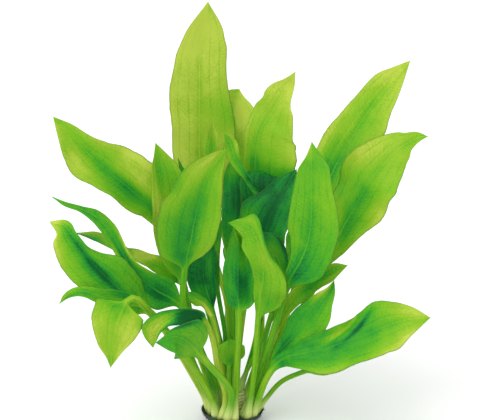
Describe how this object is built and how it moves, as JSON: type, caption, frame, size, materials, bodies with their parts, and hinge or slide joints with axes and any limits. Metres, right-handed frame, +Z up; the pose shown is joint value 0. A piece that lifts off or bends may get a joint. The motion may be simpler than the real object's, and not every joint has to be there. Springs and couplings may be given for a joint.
{
  "type": "aquarium sword plant",
  "caption": "Upright aquarium plant: a rosette of lance-shaped green leaves on long stalks, rising from a short crown on a small dark growing plug.",
  "frame": {"origin": "on the growing plug's flat underside, under the crown's middle", "axes": "+Z up along the crown, -Y towards the side that the picture shows, +X to the right there"},
  "size_m": [0.298, 0.2506, 0.3362],
  "materials": {
    "leaf_pale": "satin",
    "leaf_bright": "satin",
    "leaf_mid": "satin",
    "leaf_deep": "satin",
    "leaf_dull": "satin",
    "crown": "matte",
    "growing_plug": "matte"
  },
  "bodies": {
    "root": {"growing_plug": "growing_plug", "crown": "crown", "leaf_tall_back": "leaf_pale", "leaf_curled_back": "leaf_pale", "leaf_right_back": "leaf_bright", "leaf_small_spike": "leaf_bright", "leaf_inner_folded": "leaf_bright", "leaf_shade_right": "leaf_deep", "leaf_shade_centre": "leaf_deep", "leaf_inner_right": "leaf_mid", "leaf_dull_underside": "leaf_dull", "leaf_right_upper": "leaf_bright", "leaf_right_middle": "leaf_bright", "leaf_front_right": "leaf_mid", "leaf_right_narrow": "leaf_mid", "leaf_right_inner": "leaf_mid", "leaf_lower_right": "leaf_mid", "leaf_lower_right_back": "leaf_bright", "leaf_front_centre": "leaf_bright", "leaf_centre": "leaf_mid", "leaf_front_left": "leaf_bright", "leaf_left_spike": "leaf_mid", "leaf_left_arching": "leaf_bright", "leaf_left_s_curve": "leaf_mid", "leaf_left_strip": "leaf_mid", "leaf_left_curled": "leaf_mid", "leaf_left_drooping": "leaf_mid", "leaf_front_drooping": "leaf_bright", "leaf_folded_yellow": "leaf_bright", "leaf_front_pale": "leaf_dull", "leaf_young_round": "leaf_mid", "leaf_shade_left": "leaf_deep", "leaf_inner_left": "leaf_deep", "leaf_thin_left": "leaf_mid", "leaf_small_low": "leaf_deep", "leaf_back_left": "leaf_mid", "leaf_back_low_left": "leaf_mid", "leaf_back_low": "leaf_mid", "leaf_back_low_right": "leaf_mid"}
  },
  "joints": []
}
